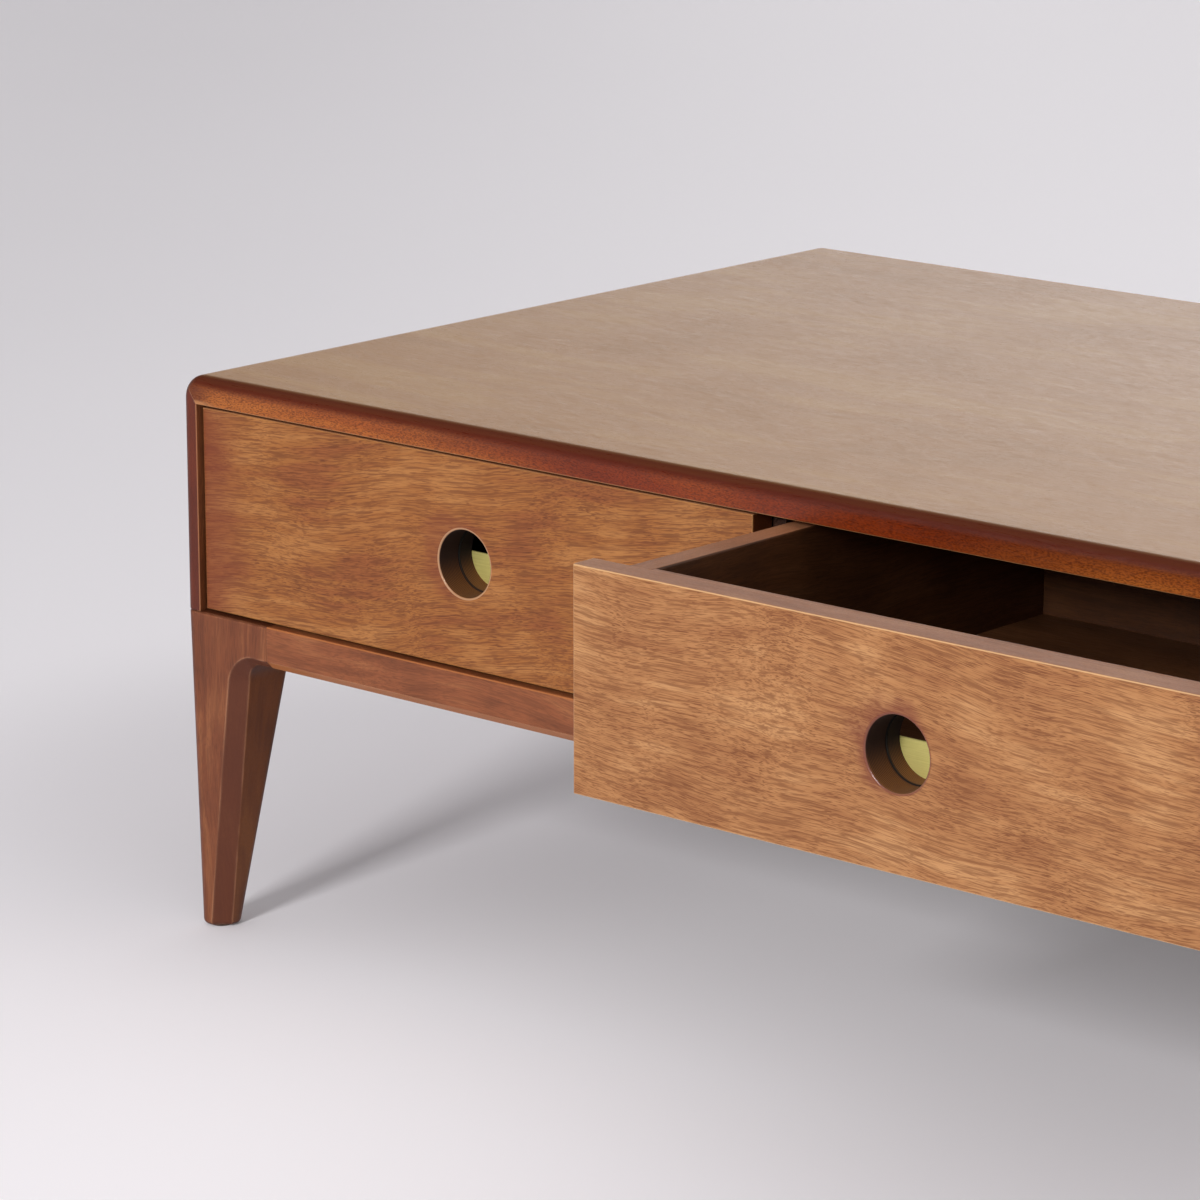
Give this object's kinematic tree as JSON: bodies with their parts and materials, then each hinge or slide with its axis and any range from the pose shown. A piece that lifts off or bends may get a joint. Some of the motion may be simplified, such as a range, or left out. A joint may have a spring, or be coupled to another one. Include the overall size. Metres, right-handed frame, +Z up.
{
  "type": "coffee table",
  "caption": "Low wooden coffee table: a mitred box with rounded edges and sliding drawers with round finger holes, on tapered legs joined by rails.",
  "frame": {"origin": "on the floor under the middle of the table's box", "axes": "+X to the right along the front, +Y from the front to the back, +Z up; at rest the left drawer is shut and the right one is pulled out 171 mm"},
  "size_m": [1.025, 0.862, 0.4],
  "materials": {
    "case_wood": "satin oiled",
    "front_wood": "satin oiled",
    "base_wood": "satin oiled",
    "drawer_wood": "satin",
    "drawer_floor": "satin veneered ply",
    "brass": "satin",
    "steel": "zinc plated",
    "nylon": "matt"
  },
  "bodies": {
    "table": {"table_top": "case_wood", "left_side_panel": "case_wood", "right_side_panel": "case_wood", "bottom_panel": "case_wood", "back_panel": "case_wood", "centre_divider": "case_wood", "front_rail": "base_wood", "rear_rail": "base_wood", "left_rail": "base_wood", "right_rail": "base_wood", "leg_front_left": "base_wood", "leg_front_right": "base_wood", "leg_rear_left": "base_wood", "leg_rear_right": "base_wood", "foot_glide_front_left": "nylon", "foot_glide_front_right": "nylon", "foot_glide_rear_left": "nylon", "foot_glide_rear_right": "nylon", "rail_dowels": "base_wood", "base_screws": "steel", "runner_screws": "steel", "left_outer_runner_channel": "steel", "left_inner_runner_channel": "steel", "right_outer_runner_channel": "steel", "right_inner_runner_channel": "steel"},
    "left_drawer": {"left_drawer_front": "front_wood", "left_drawer_box_front": "drawer_wood", "left_drawer_outer_side": "drawer_wood", "left_drawer_inner_side": "drawer_wood", "left_drawer_back": "drawer_wood", "left_drawer_bottom": "drawer_floor", "left_drawer_finger_plate": "brass", "left_drawer_plate_screws": "steel", "left_drawer_front_screws": "steel", "left_drawer_slide_screws": "steel", "left_outer_runner_slide": "steel", "left_inner_runner_slide": "steel"},
    "left_runner_middles": {"left_outer_runner_middle": "steel", "left_inner_runner_middle": "steel"},
    "right_drawer": {"right_drawer_front": "front_wood", "right_drawer_box_front": "drawer_wood", "right_drawer_outer_side": "drawer_wood", "right_drawer_inner_side": "drawer_wood", "right_drawer_back": "drawer_wood", "right_drawer_bottom": "drawer_floor", "right_drawer_finger_plate": "brass", "right_drawer_plate_screws": "steel", "right_drawer_front_screws": "steel", "right_drawer_slide_screws": "steel", "right_outer_runner_slide": "steel", "right_inner_runner_slide": "steel"},
    "right_runner_middles": {"right_outer_runner_middle": "steel", "right_inner_runner_middle": "steel"}
  },
  "joints": [
    {"name": "left_drawer_slide", "type": "slide", "parent": "table", "child": "left_drawer", "axis": [0, -1, 0], "range_m": [0, 0.39]},
    {"name": "left_runner_slide", "type": "slide", "parent": "table", "child": "left_runner_middles", "axis": [0, -1, 0], "range_m": [0, 0.195]},
    {"name": "right_drawer_slide", "type": "slide", "parent": "table", "child": "right_drawer", "axis": [0, -1, 0], "range_m": [-0.171, 0.219]},
    {"name": "right_runner_slide", "type": "slide", "parent": "table", "child": "right_runner_middles", "axis": [0, -1, 0], "range_m": [-0.0855, 0.1095]}
  ],
  "couplings": [
    {"joint": "left_runner_slide", "follows": "left_drawer_slide", "ratio": 0.5},
    {"joint": "right_runner_slide", "follows": "right_drawer_slide", "ratio": 0.5}
  ]
}
